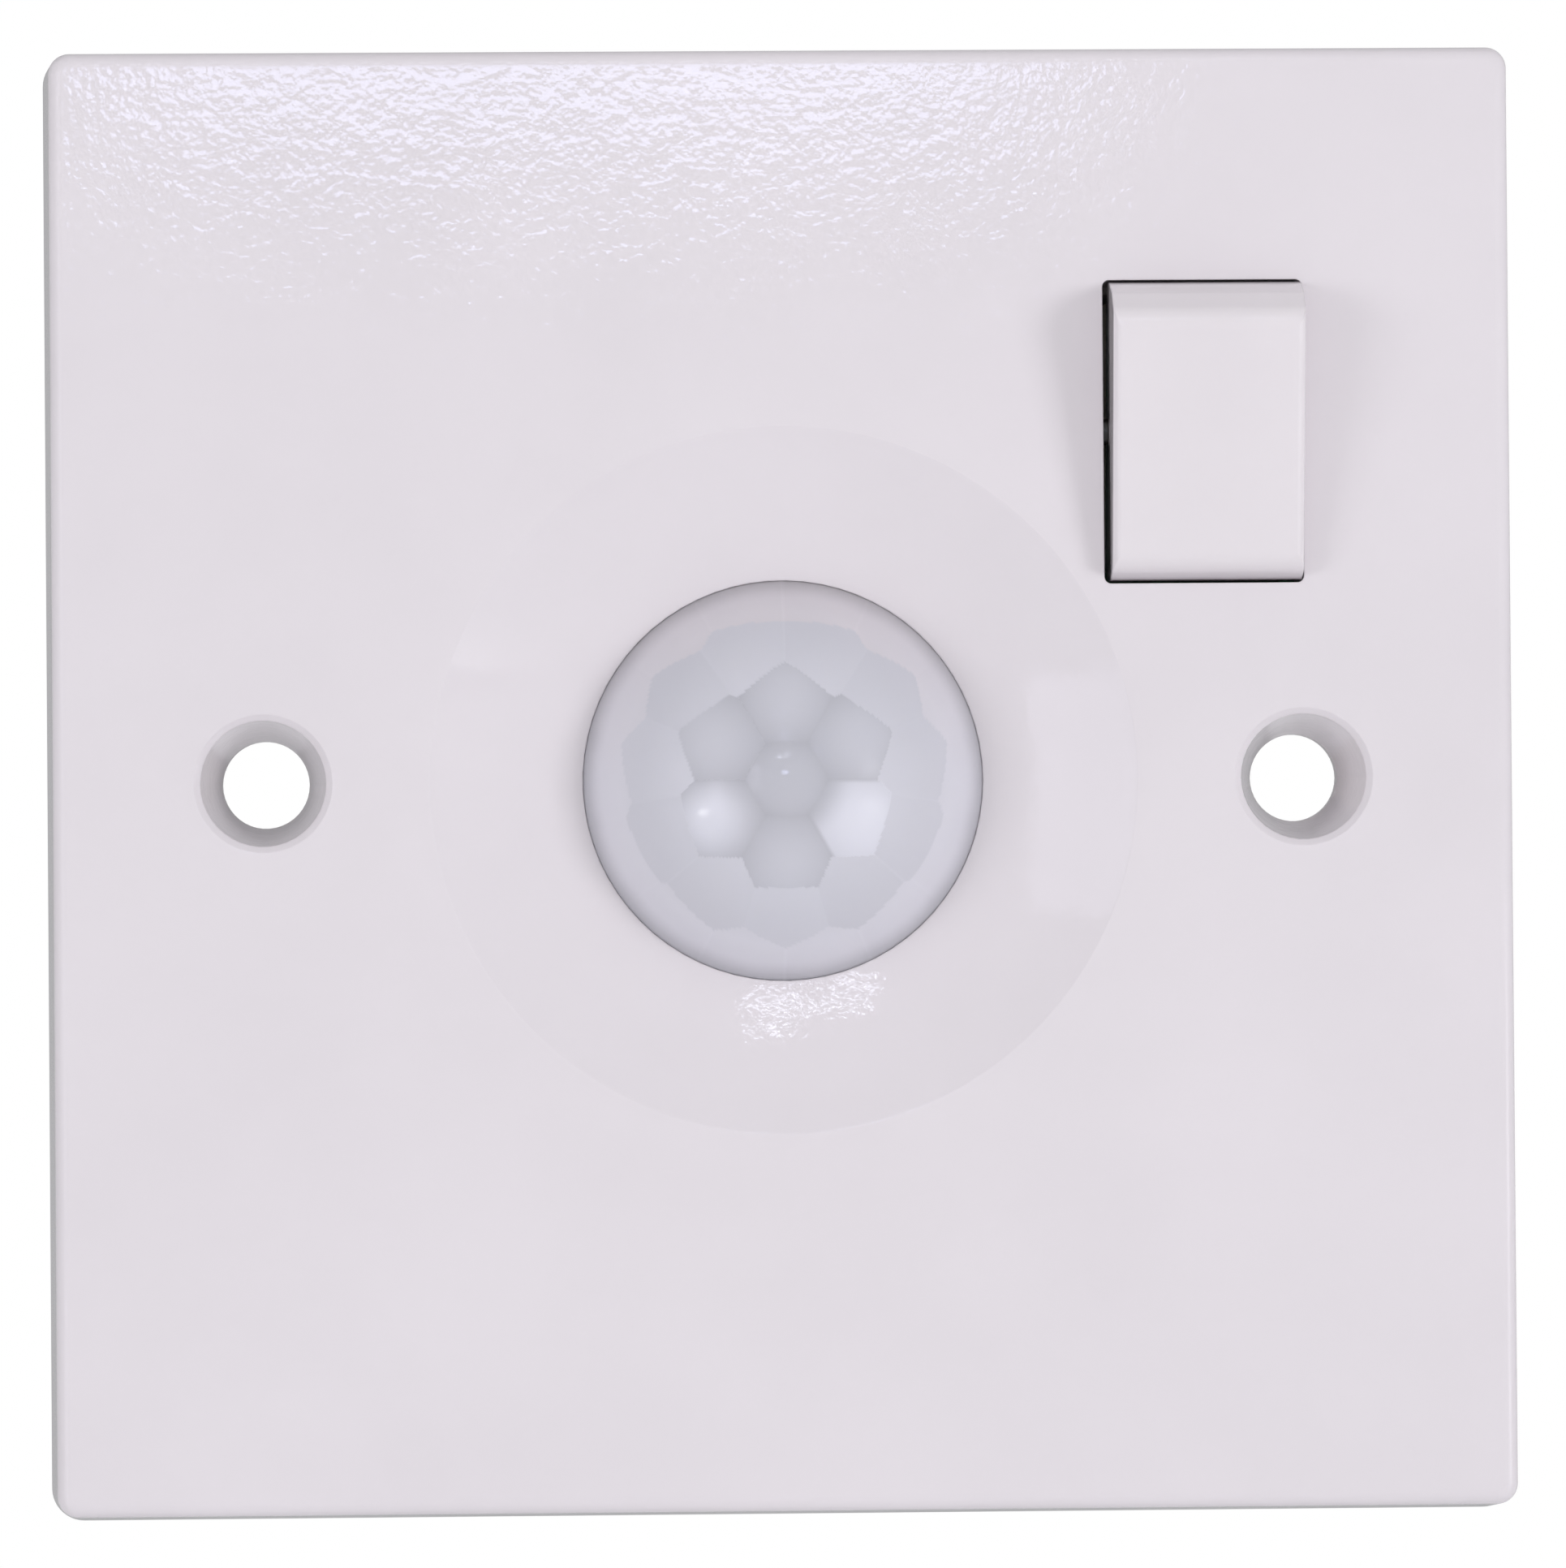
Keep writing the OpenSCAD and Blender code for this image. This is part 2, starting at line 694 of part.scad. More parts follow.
module power_board() {
    color("seagreen") upright() difference() {
        slab(power_under_z, power_z) case_outline(board_edge);
        slab(power_under_z - over, power_z + over) {
            translate([0, power_edge_y - case_l / 2]) square([case_w, case_l], center = true);
            for (p = pillars) translate(p) circle(r = pillar_screw_r + 0.15);
            for (i = [0:header_ways - 1]) translate([header_x, (i - (header_ways - 1) / 2) * header_pitch])
                circle(r = pin_w * 0.75);
        }
    }
}

module power_board_screws() {
    color("silver") upright() for (p = pillars) translate([p[0], p[1], power_z]) mirror([0, 0, 1])
        screw(pillar_screw_r, pillar_screw_len, 1.9, post_head_t);
}

module relay() {
    color("steelblue") upright() translate([-11, 2]) {
        slab(power_z, power_z + 9.4) rounded_rect(15.6, 20, 0.6);
        slab(power_z, power_z + 1) rounded_rect(16, 20.4, 0.6);
    }
}

module electrolytic_capacitors() {
    can = 4;
    length = 12;
    color("darkslateblue") upright() for (x = [4.5, 13.5]) translate([x, -1.5, power_z + can]) {
        rotate([-90, 0, 0]) difference() {
            rotate_extrude() polygon([
                [0, 0], [can, 0], [can, 1.6], [can - 0.3, 1.9], [can, 2.2], [can, length], [0, length]
            ]);
            at_height(length) cube([0.5, 2 * can * 0.8, 0.5], center = true);
        }
    }
}

module film_capacitor() {
    color("goldenrod") upright() translate([-12, 21]) slab(power_z, power_z + 9) rounded_rect(18, 8, 0.8);
}

module varistor() {
    disc = 4.2;
    color("royalblue") upright() translate([13, -9.5, power_z]) {
        at_height(disc + 0.6) rotate([90, 0, 0]) cylinder(h = 2.8, r = disc, center = true);
        for (s = [-1, 1]) translate([s * 2.5, 0]) slab(0, 2.4) circle(r = 0.35);
    }
}

module choke() {
    color("peru") upright() translate([3.5, -10]) rotate_extrude() polygon([
        [0, power_z], [4.2, power_z], [4.2, power_z + 1], [3.6, power_z + 1.4],
        [3.6, power_z + 6.8], [4.2, power_z + 7.2], [4.2, power_z + 8.2], [0, power_z + 8.2]
    ]);
}

module fuse() {
    color("lightgray") upright() translate([9, 21.5, power_z + 2.2]) rotate([0, 90, 0]) {
        cylinder(h = 12, r = 1.5, center = true);
        for (s = [-1, 1]) at_height(s * 4.6) cylinder(h = 3, r = 1.8, center = true);
        for (s = [-1, 1]) translate([1.1, 0, s * 4.6]) cube([2.2, 2.6, 1.2], center = true);
    }
}

module rectifier_diodes() {
    color("dimgray") upright() for (i = [0:3]) translate([16 + 3.2 * i, 15, power_z]) axial(1.2, 4, 0.35, 7, 1.3);
}

module resistors() {
    color("burlywood") upright() for (i = [0:2]) translate([-29.4 + 2.8 * i, 15.4, power_z])
        axial(0.95, 3.6, 0.28, 6, 1.1);
}

// ---- Trimmers: one sets the time, the other the light level ----

module trimmer_body(x) {
    color("royalblue") upright() translate([x, trimmer_y]) difference() {
        slab(power_under_z - trimmer_t, power_under_z) square(trimmer_w, center = true);
        slab(power_under_z - trimmer_t - over, power_under_z - trimmer_t + rotor_pin_len + 0.3) circle(r = rotor_bore_r);
    }
}

// Disc with a spindle in the body and a driver cross in its outer face
module trimmer_rotor(x) {
    top = power_under_z - trimmer_t - rotor_gap;
    bottom = case_z + 0.2;
    color("white") upright() translate([x, trimmer_y]) difference() {
        union() {
            slab(bottom, top) circle(r = rotor_r);
            slab(top - bond, top + rotor_gap + rotor_pin_len) circle(r = rotor_pin_r);
        }
        slab(bottom - over, bottom + cross_d) {
            square([cross_w, cross_l], center = true);
            square([cross_l, cross_w], center = true);
        }
    }
}

module time_trimmer_body() trimmer_body(-trimmer_x);
module time_trimmer_rotor() trimmer_rotor(-trimmer_x);
module light_trimmer_body() trimmer_body(trimmer_x);
module light_trimmer_rotor() trimmer_rotor(trimmer_x);

// ---- Rear case ----

module rear_case() {
    color("whitesmoke") upright() difference() {
        union() {
            difference() {
                slab(case_z, rim_h) case_outline(0);
                slab(floor_z, rim_h + over) case_outline(case_t);
            }
            for (p = pillars) translate(p) slab(floor_z - bond, power_under_z) circle(r = pillar_r);
            for (x = [-ear_x, ear_x], s = [-1, 1]) translate([x, s * ear_y]) slab(0, rim_h) {
                circle(r = case_ear_r);
                translate([0, -s * case_ear_r / 2]) square([2 * case_ear_r, case_ear_r + 0.4], center = true);
            }
        }
        for (p = pillars) translate(p)
            slab(power_under_z + board_t - pillar_screw_len - 0.2, power_under_z + over)
                circle(r = pillar_screw_r + screw_clear);
        for (x = [-ear_x, ear_x], y = [-ear_y, ear_y]) translate([x, y]) {
            slab(-over, rim_h + over) circle(r = case_screw_r + 0.2);
            slab(-over, case_head_t) circle(r = case_head_r + 0.15);
        }
        slab(case_z - over, floor_z + over) {
            for (x = [-trimmer_x, trimmer_x]) translate([x, trimmer_y]) circle(r = rotor_r + 0.3);
            for (x = terminals) translate([x, clamp_y + clamp_l / 2]) circle(r = access_r);
        }
        translate([0, -case_l / 2, wire_z]) cube([block_w - 2, 2 * case_t + over, window_h], center = true);
    }
}

module case_screws() {
    color("silver") upright() for (x = [-ear_x, ear_x], y = [-ear_y, ear_y]) translate([x, y, case_head_t])
        screw(case_screw_r, rim_h - case_head_t + case_screw_len - 0.4, case_head_r, case_head_t);
}

// ---- Terminals ----

module terminal_block() {
    pocket_w = clamp_w + fit;
    color("dimgray") upright() difference() {
        slab(block_rear_z, block_top_z) translate([-block_w / 2, block_y]) square([block_w, block_l]);
        for (x = terminals) translate([x, 0]) {
            slab(clamp_z - fit / 2, clamp_z + clamp_h + fit / 2)
                translate([-pocket_w / 2, block_y - over]) square([pocket_w, clamp_y + clamp_l + over - block_y + fit]);
            slab(block_rear_z - over, clamp_z) translate([0, clamp_y + clamp_l / 2]) circle(r = access_r);
            slab(power_z - fit / 2, power_z + tag_t + fit / 2)
                translate([-tag_w / 2 - fit / 2, clamp_y]) square([tag_w + fit, block_l + over]);
            translate([0, clamp_y + clamp_l, wire_z])
                rotate([-90, 0, 0]) cylinder(h = fit + wire_end_l, r = wire_end_r);
        }
    }
}

module terminal_clamps() {
    color("gold") upright() for (x = terminals) translate([x, 0]) difference() {
        union() {
            slab(clamp_z, clamp_z + clamp_h) translate([-clamp_w / 2, clamp_y]) square([clamp_w, clamp_l]);
            slab(power_z, power_z + tag_t)
                translate([-tag_w / 2, clamp_y + clamp_l - bond]) square([tag_w, tag_reach + bond]);
        }
        translate([0, clamp_y - over, wire_z]) rotate([-90, 0, 0]) cylinder(h = clamp_l + 2 * over, r = wire_r);
        translate([0, clamp_y + clamp_l / 2]) slab(clamp_z - over, wire_z) circle(r = clamp_screw_r + screw_clear);
    }
}

module terminal_screws() {
    tip_z = wire_z - wire_r - 0.3;
    color("silver") upright() for (x = terminals) translate([x, clamp_y + clamp_l / 2]) difference() {
        union() {
            slab(clamp_head_z, clamp_head_z + clamp_head_t) circle(r = clamp_head_r);
            slab(clamp_head_z + clamp_head_t - bond, tip_z) circle(r = clamp_screw_r);
        }
        slab(clamp_head_z - over, clamp_head_z + 1) square([driver_slot, 2 * (clamp_head_r + over)], center = true);
    }
}

front_plate();
lens_dome();
lens_retainer();
retainer_screws();
rocker();
rocker_plunger();
plunger_spring();
switch_housing();
fixed_contacts();
contact_cradle();
contact_bridge();
sensor_board();
sensor_board_screws();
pyro_can();
pyro_window();
pyro_leads();
pyro_spacer();
light_sensor();
controller_chip();
header_block();
header_pins();
power_board();
power_board_screws();
relay();
electrolytic_capacitors();
film_capacitor();
varistor();
choke();
fuse();
rectifier_diodes();
resistors();
time_trimmer_body();
time_trimmer_rotor();
light_trimmer_body();
light_trimmer_rotor();
rear_case();
case_screws();
terminal_block();
terminal_clamps();
terminal_screws();
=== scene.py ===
"""Wall-plate occupancy switch: a gloss white plate with a faceted milky dome, an override rocker and
the sensing and switching parts behind it. Metres; X across, Z up the wall, the front faces -Y."""

import math

import bpy
from mathutils import Matrix, Vector


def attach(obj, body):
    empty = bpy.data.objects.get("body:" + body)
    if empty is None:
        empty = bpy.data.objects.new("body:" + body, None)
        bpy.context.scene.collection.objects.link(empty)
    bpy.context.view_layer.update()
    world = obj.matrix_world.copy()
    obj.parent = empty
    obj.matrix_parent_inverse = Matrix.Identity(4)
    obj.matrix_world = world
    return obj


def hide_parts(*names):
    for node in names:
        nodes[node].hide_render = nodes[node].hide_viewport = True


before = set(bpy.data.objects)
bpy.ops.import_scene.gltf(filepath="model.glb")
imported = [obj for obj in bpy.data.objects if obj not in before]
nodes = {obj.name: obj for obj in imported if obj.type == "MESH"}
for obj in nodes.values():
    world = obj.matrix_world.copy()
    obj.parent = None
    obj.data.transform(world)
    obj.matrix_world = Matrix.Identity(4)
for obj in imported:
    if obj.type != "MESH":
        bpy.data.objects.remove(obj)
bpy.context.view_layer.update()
MM = 0.001


# ---- Studio ------------------------------------------------------------------------------------------
# A white room over a pale floor. Soft boxes stand at both sides, low in front and behind; windows, a
# lamp, the table and ceiling tubes are cards that only a gloss surface shows. The camera's long lens
# looks at the plate almost square on, from a little left and low.

CAMERA_AT = Vector((-16.95, -533.5, -6.4)) * MM
CAMERA_AIM = Vector((-0.09, -8.5, -0.23)) * MM
CAMERA_ROLL = math.radians(-0.44)
LENS_MM, SENSOR_MM = 208.6, 36.0
CLIP_NEAR, CLIP_FAR = 0.01, 20

camera_data = bpy.data.cameras.new("camera")
camera_data.lens = LENS_MM
camera_data.sensor_width = SENSOR_MM
camera_data.sensor_fit = "HORIZONTAL"
camera_data.clip_start, camera_data.clip_end = CLIP_NEAR, CLIP_FAR
camera = bpy.data.objects.new("camera", camera_data)
bpy.context.collection.objects.link(camera)
camera.rotation_mode = "QUATERNION"
aim = (CAMERA_AIM - CAMERA_AT).to_track_quat("-Z", "Y")
camera.rotation_quaternion = aim @ Matrix.Rotation(CAMERA_ROLL, 3, "Z").to_quaternion()
camera.location = CAMERA_AT
bpy.context.scene.camera = camera

CARD_DISTANCE = 1.5
WHITE, SOFT_WHITE = (1.0, 1.0, 1.0), (0.98, 0.975, 1.0)

# Name, kind, width and height, bearing and elevation in degrees, power, colour.
CARDS = [
    ("key_right", "key", 0.42, 0.60, 48, 2, 6.2, SOFT_WHITE),
    ("key_left", "key", 0.60, 0.60, -52, 0, 4.2, SOFT_WHITE),
    ("window_left", "gloss", 0.40, 0.85, -35, 0, 1.3, (0.88, 0.86, 1.0)),
    ("key_front", "key", 0.90, 0.90, -2, -24, 4.6, SOFT_WHITE),
    ("key_back", "key", 0.50, 0.50, 150, 38, 6.0, WHITE),
    ("lamp_left", "gloss", 0.20, 0.24, -47, -15, 5.0, WHITE),
    ("table_glow", "gloss", 1.00, 0.60, 0, -32, 1.4, (0.98, 0.98, 1.0)),
    ("window_right", "gloss", 0.42, 0.60, 52.5, -12, 2.0, (0.96, 0.96, 1.0)),
]
TOP_WINDOW_AT = Vector((0.008, -2.0, 0.288))

# Bearing, elevation and length of each tube, whose power goes with its length.
TUBES = [(-4.0, 25.0, 0.28), (-0.5, 27.4, 0.38), (4.0, 29.8, 0.16)]
TUBE_WIDTH, TUBE_POWER, TUBE_COLOUR = 0.009, 0.42, (0.80, 0.84, 1.0)


def light_card(name, kind, width, height, place, power, colour):
    """A soft box that faces the plate: a key only lights it, a gloss card is only mirrored in it."""
    data = bpy.data.lights.new(name, "AREA")
    data.shape = "RECTANGLE"
    data.size, data.size_y = width, height
    data.energy = power
    data.color = colour
    card = bpy.data.objects.new(name, data)
    bpy.context.collection.objects.link(card)
    card.location = place
    card.rotation_mode = "QUATERNION"
    card.rotation_quaternion = (-place).to_track_quat("-Z", "Y")
    card.visible_diffuse = kind == "key"
    card.visible_glossy = kind == "gloss"


def around(bearing, elevation):
    """A place for a card, all at one distance; bearing 0 is straight in front of the plate."""
    a, e = math.radians(bearing), math.radians(elevation)
    return Vector((math.sin(a) * math.cos(e), -math.cos(a) * math.cos(e), math.sin(e))) * CARD_DISTANCE


for name, kind, width, height, bearing, elevation, power, colour in CARDS:
    light_card(name, kind, width, height, around(bearing, elevation), power, colour)
light_card("top_window", "gloss", 0.26, 0.15, TOP_WINDOW_AT, 0.74, (0.64, 0.69, 1.0))
for tube, (bearing, elevation, length) in enumerate(TUBES):
    light_card(f"ceiling_tube_{tube}", "gloss", length, TUBE_WIDTH, around(bearing, elevation),
               TUBE_POWER * length, TUBE_COLOUR)


def add(nodes_, kind, **values):
    """A shader node with the given sockets and settings."""
    made = nodes_.new("ShaderNode" + kind)
    for key, value in values.items():
        if key in made.inputs:
            made.inputs[key].default_value = value
        else:
            setattr(made, key, value)
    return made


def feed(links_, given, socket):
    """Sets a socket to a value, or links it to the output that gives one."""
    if isinstance(given, bpy.types.NodeSocket):
        links_.new(given, socket)
    else:
        socket.default_value = given


def maths(nodes_, links_, operation, *given):
    made = add(nodes_, "Math", operation=operation)
    for socket, value in zip(made.inputs, given):
        feed(links_, value, socket)
    return made.outputs["Value"]


def between(nodes_, links_, source, low, high, from_low=0.3, from_high=0.7):
    """Stretches a value to run from low to high; a noise value lies mostly between 0.3 and 0.7."""
    made = add(nodes_, "MapRange")
    made.inputs["From Min"].default_value = from_low
    made.inputs["From Max"].default_value = from_high
    made.inputs["To Min"].default_value = low
    made.inputs["To Max"].default_value = high
    links_.new(source, made.inputs["Value"])
    return made.outputs["Result"]


# The room is brighter below than above, and dims behind the plate.
ROOM_COLOUR, ROOM_LIGHT = (0.98, 0.985, 1.0, 1), 0.737
FROM_BELOW, FROM_ABOVE = 1.20, 0.78
BEHIND, DIM_START_Y, DIM_END_Y = 0.55, -0.1, 0.4

world = bpy.data.worlds.new("white_room")
bpy.context.scene.world = world
world.use_nodes = True
wn, wl = world.node_tree.nodes, world.node_tree.links
wn.clear()
seen = add(wn, "Background", Color=(1, 1, 1, 1))
room = add(wn, "Background", Color=ROOM_COLOUR)
heading, split = add(wn, "TexCoord"), add(wn, "SeparateXYZ")
wl.new(heading.outputs["Generated"], split.inputs["Vector"])
upwards = between(wn, wl, split.outputs["Z"], FROM_BELOW, FROM_ABOVE, -1, 1)
backwards = between(wn, wl, split.outputs["Y"], 1, BEHIND, DIM_START_Y, DIM_END_Y)
lit = maths(wn, wl, "MULTIPLY", upwards, ROOM_LIGHT)
wl.new(maths(wn, wl, "MULTIPLY", backwards, lit), room.inputs["Strength"])
path, which, out = add(wn, "LightPath"), add(wn, "MixShader"), add(wn, "OutputWorld")
wl.new(path.outputs["Is Camera Ray"], which.inputs["Fac"])
wl.new(room.outputs[0], which.inputs[1])
wl.new(seen.outputs[0], which.inputs[2])
wl.new(which.outputs[0], out.inputs["Surface"])
bpy.context.scene.view_settings.view_transform = "Standard"


def new_material(name):
    made = bpy.data.materials.new(name)
    made.use_nodes = True
    tree = made.node_tree
    return made, tree.nodes, tree.links, tree.nodes["Principled BSDF"]


FLOOR_Z, FLOOR_SIZE, FLOOR_CUTS = -0.30, 3.0, 8

bpy.ops.object.select_all(action="DESELECT")
bpy.ops.mesh.primitive_grid_add(x_subdivisions=FLOOR_CUTS, y_subdivisions=FLOOR_CUTS, size=FLOOR_SIZE,
                                location=(0, 0, FLOOR_Z))
floor = bpy.context.object
floor.name = "floor"
bpy.ops.object.transform_apply(location=True, rotation=True, scale=True)
pale, _, _, skin = new_material("floor_paint")
skin.inputs["Base Color"].default_value = (0.90, 0.90, 0.91, 1)
skin.inputs["Roughness"].default_value = 0.9
floor.data.materials.append(pale)


# ---- Front plate -------------------------------------------------------------------------------------
# One urea moulding: a square tray with drafted sides, a shallow dish and two tapered screw tunnels.
# Polished tool faces leave a hard gloss with a very slight ripple, and a few dark specks in the skin.

PLATE_WHITE = (0.787, 0.743, 0.777, 1)
PLATE_LUMPS = [(1.4, 0.0100), (0.40, 0.0070)]
CLOUD_MM, CLOUD_DARK = 14.0, 0.965
SPECK_DARK, SPECK_CORE, SPECK_EDGE = 0.45, 0.006, 0.011
WEAR_MM, LEAST_WORN, MOST_WORN = 5.0, 0.85, 1.2
PLASTIC_IOR = 1.5
GLOSS_EDGE_MM, GLOSS_ROUGH = 0.30, 0.04

# Where a Mix node keeps its amount, its two colours and the colour it gives.
MIX_AMOUNT, MIX_FIRST, MIX_SECOND, MIX_RESULT = 0, 6, 7, 2


def grain(nodes_, links_, where, size_mm, detail=2.0, rough=0.5):
    """Noise whose lumps are size_mm across, read from the piece's own coordinates."""
    made = add(nodes_, "TexNoise", Scale=1.0 / (size_mm * MM), Detail=detail, Roughness=rough)
    links_.new(where.outputs["Object"], made.inputs["Vector"])
    return made.outputs["Fac"]


def tint(nodes_, links_, amount, first, second, how="MIX"):
    """Blends two colours; each, and the amount, is a value or the output that gives one."""
    made = add(nodes_, "Mix", data_type="RGBA", blend_type=how)
    feed(links_, amount, made.inputs[MIX_AMOUNT])
    feed(links_, first, made.inputs[MIX_FIRST])
    feed(links_, second, made.inputs[MIX_SECOND])
    return made.outputs[MIX_RESULT]


def ripple(nodes_, links_, height, depth_mm, under=None):
    made = add(nodes_, "Bump", Strength=1.0, Distance=depth_mm * MM)
    links_.new(height, made.inputs["Height"])
    if under is not None:
        links_.new(under, made.inputs["Normal"])
    return made.outputs["Normal"]


def shade(colour, factor):
    return tuple(c * factor for c in colour[:3]) + (1,)


def moulded(name, colour, rough, peel, fine, edge_mm, specks_mm=0.0):
    """Moulded plastic: ripple left by the tool, fine skin grain, softened edges, faint clouding. Peel
    and fine are the size of the lumps and their depth, in mm; specks_mm is how far apart specks are."""
    made, n, l, skin = new_material(name)
    where = add(n, "TexCoord")
    cloud = grain(n, l, where, CLOUD_MM, 3.0)
    body = tint(n, l, between(n, l, cloud, 0.0, 1.0), colour, shade(colour, CLOUD_DARK))
    if specks_mm:
        dots = add(n, "TexVoronoi", Scale=1.0 / (specks_mm * MM))
        l.new(where.outputs["Object"], dots.inputs["Vector"])
        here = between(n, l, dots.outputs["Distance"], 1.0, 0.0, SPECK_CORE, SPECK_EDGE)
        body = tint(n, l, here, body, shade(colour, SPECK_DARK))
    l.new(body, skin.inputs["Base Color"])
    worn = grain(n, l, where, WEAR_MM, 4.0, 0.6)
    l.new(between(n, l, worn, rough * LEAST_WORN, rough * MOST_WORN), skin.inputs["Roughness"])
    edge = add(n, "Bevel", Radius=edge_mm * MM, samples=4)
    peel_mm, peel_depth = peel
    fine_mm, fine_depth = fine
    wavy = ripple(n, l, grain(n, l, where, peel_mm, 1.5), peel_depth, edge.outputs["Normal"])
    l.new(ripple(n, l, grain(n, l, where, fine_mm, 2.0), fine_depth, wavy), skin.inputs["Normal"])
    skin.inputs["IOR"].default_value = PLASTIC_IOR
    return made, skin


def polished(name, colour, lumps, edge_mm, specks_mm=0.0):
    """A moulding from a polished tool: an even body under a hard gloss skin that carries the ripple,
    given as the size and depth of each kind of lump in mm."""
    made, skin = moulded(name, colour, 0.3, (3.0, 0.003), (0.8, 0.001), edge_mm, specks_mm)
    n, l = made.node_tree.nodes, made.node_tree.links
    where = add(n, "TexCoord")
    facing = add(n, "Bevel", Radius=GLOSS_EDGE_MM * MM, samples=6).outputs["Normal"]
    for size_mm, depth_mm in lumps:
        facing = ripple(n, l, grain(n, l, where, size_mm, 1.5), depth_mm, facing)
    l.new(facing, skin.inputs["Coat Normal"])
    skin.inputs["Specular IOR Level"].default_value = 0.0
    skin.inputs["Coat Weight"].default_value = 1.0
    skin.inputs["Coat Roughness"].default_value = GLOSS_ROUGH
    return made, skin


def dress(material, *names):
    for name in names:
        mesh = nodes[name].data
        mesh.materials.clear()
        mesh.materials.append(material)


plate_skin, _ = polished("plate_urea", PLATE_WHITE, PLATE_LUMPS, edge_mm=0.12, specks_mm=13.0)
dress(plate_skin, "front_plate")


# ---- Lens dome ---------------------------------------------------------------------------------------
# A milky polyethylene moulding with a flange held behind the plate. Its outside is a patchwork of small
# convex lenslets: one in the middle, then rings of six, eleven and fourteen, each a low dome of its own.

LENS_R, FLANGE_R, LENS_BORE_R = 11.64, 13.5, 10.7
DOME_BASE, DOME_RISE, LENS_WALL = 5.65, 7.15, 0.9
DOME_R = (LENS_R ** 2 + DOME_RISE ** 2) / (2 * DOME_RISE)
DOME_CENTRE = DOME_BASE + DOME_RISE - DOME_R
SEAT_H, FLANGE_H = 3.9, 2.7
SPIN_STEPS, CAP_RINGS, BORE_RINGS = 432, 100, 14
WELD = 2e-7
SMOOTH_BELOW = math.radians(38)


def walk(points):
    """One vertex drawn out along a profile; points are radius and height out of the wall."""
    bpy.ops.object.select_all(action="DESELECT")
    r, h = points[0]
    bpy.ops.mesh.primitive_plane_add(size=0.001, location=(r * MM, -h * MM, 0))
    bpy.ops.object.transform_apply(location=True, rotation=True, scale=True)
    bpy.ops.object.mode_set(mode="EDIT")
    bpy.ops.mesh.select_all(action="SELECT")
    bpy.ops.mesh.merge(type="CENTER")
    for (r0, h0), (r1, h1) in zip(points, points[1:]):
        step = ((r1 - r0) * MM, -(h1 - h0) * MM, 0)
        bpy.ops.mesh.extrude_region_move(TRANSFORM_OT_translate={"value": step})
    bpy.ops.mesh.select_all(action="SELECT")
    return bpy.context.object


def spin_closed(steps):
    bpy.ops.mesh.spin(steps=steps, angle=2 * math.pi, center=(0, 0, 0), axis=(0, 1, 0))
    bpy.ops.mesh.select_all(action="SELECT")
    bpy.ops.mesh.remove_doubles(threshold=WELD)
    bpy.ops.mesh.normals_make_consistent(inside=False)
    bpy.ops.object.mode_set(mode="OBJECT")


def cap(edge_r, rings, sphere_r):
    """A dome's profile, from its middle out to edge_r."""
    radii = [edge_r * i / rings for i in range(rings + 1)]
    return [(r, DOME_CENTRE + math.sqrt(max(0.0, sphere_r ** 2 - r ** 2))) for r in radii]


flange = [(LENS_R, SEAT_H), (FLANGE_R, SEAT_H), (FLANGE_R, FLANGE_H), (LENS_BORE_R, FLANGE_H)]
bore = cap(LENS_BORE_R, BORE_RINGS, DOME_R - LENS_WALL)
lens = walk(cap(LENS_R, CAP_RINGS, DOME_R) + flange + bore[::-1])
lens.name = "lens"
spin_closed(SPIN_STEPS)

# Each ring: number of lenslets, bearing of the first, radius of the ring, how low it starts (mm).
LENSLETS = [
    (1, 90.0, 0.0, 0.03),
    (6, 90.0, 4.75, 0.03),
    (11, 90.0 - 360 / 22, 8.1, 0.005),
    (14, 90.0 - 360 / 28, 10.4, 0.022),
]
BULGE, MIDDLE_BULGE, FLAT_BULGE = 0.0315, 0.045, 0.012
FLAT_FROM_R, FLAT_OVER = 6.5, 2.5
VALLEY, VALLEY_REACH, VALLEY_FILL = 0.012, 3, 0.75


def lenslet(x, z):
    """The lenslet that wins at a spot: depth below the plain dome, ring, place in the ring, depth below
    the lenslet's own top, and how near the next one is."""
    r, bearing = math.hypot(x, z), math.degrees(math.atan2(z, x))
    best = (math.inf, 0, 0, 0.0, math.inf)
    flatter = min(1.0, max(0.0, (r - FLAT_FROM_R) / FLAT_OVER))
    for ring, (count, first, ring_r, low) in enumerate(LENSLETS):
        pitch = 360.0 / count
        place = math.floor((bearing - first) / pitch + 0.5)
        turn = bearing - first - place * pitch
        sideways = BULGE if ring < 2 else BULGE + (FLAT_BULGE - BULGE) * flatter
        falls = []
        for near in (turn, turn - math.copysign(pitch, turn)):
            side = r * ring_r * math.radians(near) ** 2
            falls.append(MIDDLE_BULGE * r * r if ring == 0 else BULGE * (r - ring_r) ** 2 + sideways * side)
        depth, apart = falls[0] + low, falls[1] - falls[0]
        if ring == 1:
            near_valley = max(0.0, 1 - apart / (VALLEY_REACH * VALLEY))
            depth -= VALLEY * near_valley * near_valley * VALLEY_FILL
        if depth < best[0]:
            best = (max(0.0, depth), ring, place % count, falls[0], apart)
    return best


# Painted light at its most, how fast painted shade darkens it, roughness and warmth of each ring, from the
# middle out.
PAINTED_LEVEL = (0.985, 1.035, 1.070, 1.040)
PAINTED_SHADE_RATE = (0.085, 0.115, 0.036, 0.050)
ROUGH = (0.07, 0.24, 0.44, 0.36)
WARM = (0.0, 0.0, 0.12, 0.30)
MIDDLE_R, INNER_FALL, SECOND_R, OUTER_R = 2.2, 0.167, 6.0, 9.6
# Painted shade darkens the rim from here outwards.
RIM_R, RIM_PAINTED_SHADE, RIM_POWER = 10.6, 0.30, 1.5
FROSTED, FROSTED_ROUGH = 1, 0.42
